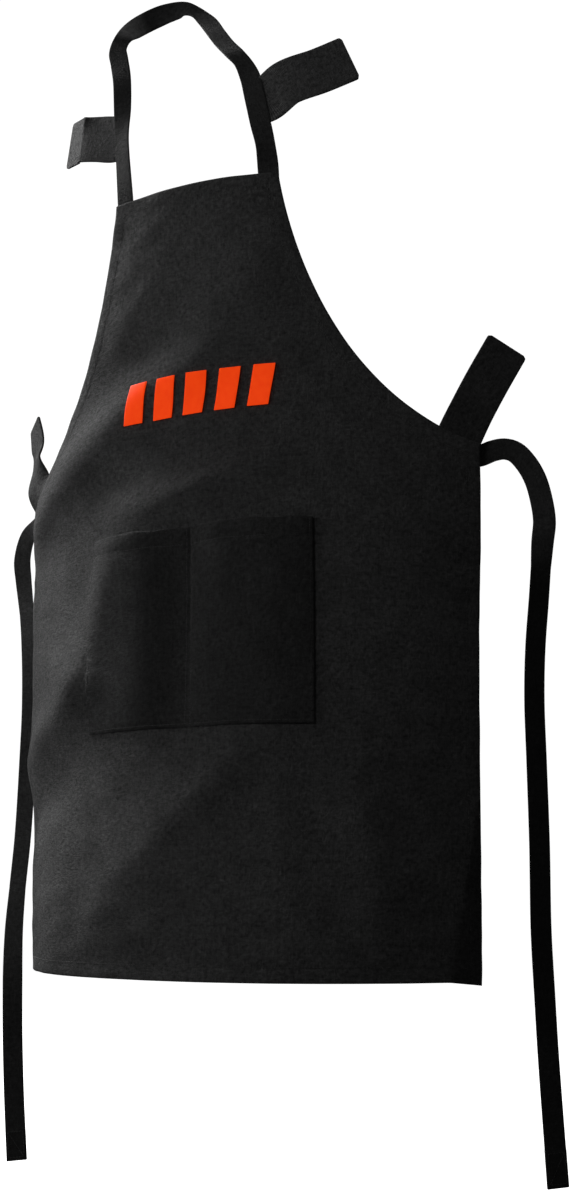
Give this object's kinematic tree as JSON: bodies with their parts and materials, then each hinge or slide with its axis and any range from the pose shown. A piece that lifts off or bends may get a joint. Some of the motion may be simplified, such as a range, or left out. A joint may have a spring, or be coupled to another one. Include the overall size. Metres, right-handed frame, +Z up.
{
  "type": "work apron",
  "caption": "Bib work apron of dark canvas with a neck strap, waist ties, a divided front pocket and hook-and-loop cable tabs, in its worn form.",
  "frame": {"origin": "inner face of the neck strap where it lies on the back of the neck", "axes": "+Z up, the front of the apron faces -Y and +X is to the viewer's right"},
  "size_m": [0.722, 0.1614, 1.4149],
  "materials": {
    "canvas": "charcoal cotton canvas",
    "pocket_canvas": "charcoal cotton canvas",
    "tape": "woven cotton tape",
    "hook_and_loop": "napped hook-and-loop webbing",
    "orange_print": "raised soft print"
  },
  "bodies": {
    "root": {"apron_panel": "canvas", "front_pocket": "pocket_canvas", "neck_strap": "tape", "waist_tie_right": "tape", "waist_tie_left": "tape", "shoulder_tab_left": "hook_and_loop", "shoulder_tab_right": "hook_and_loop", "waist_tab_left": "hook_and_loop", "waist_tab_right": "hook_and_loop", "print_bar_1": "orange_print", "print_bar_2": "orange_print", "print_bar_3": "orange_print", "print_bar_4": "orange_print", "print_bar_5": "orange_print"}
  },
  "joints": []
}
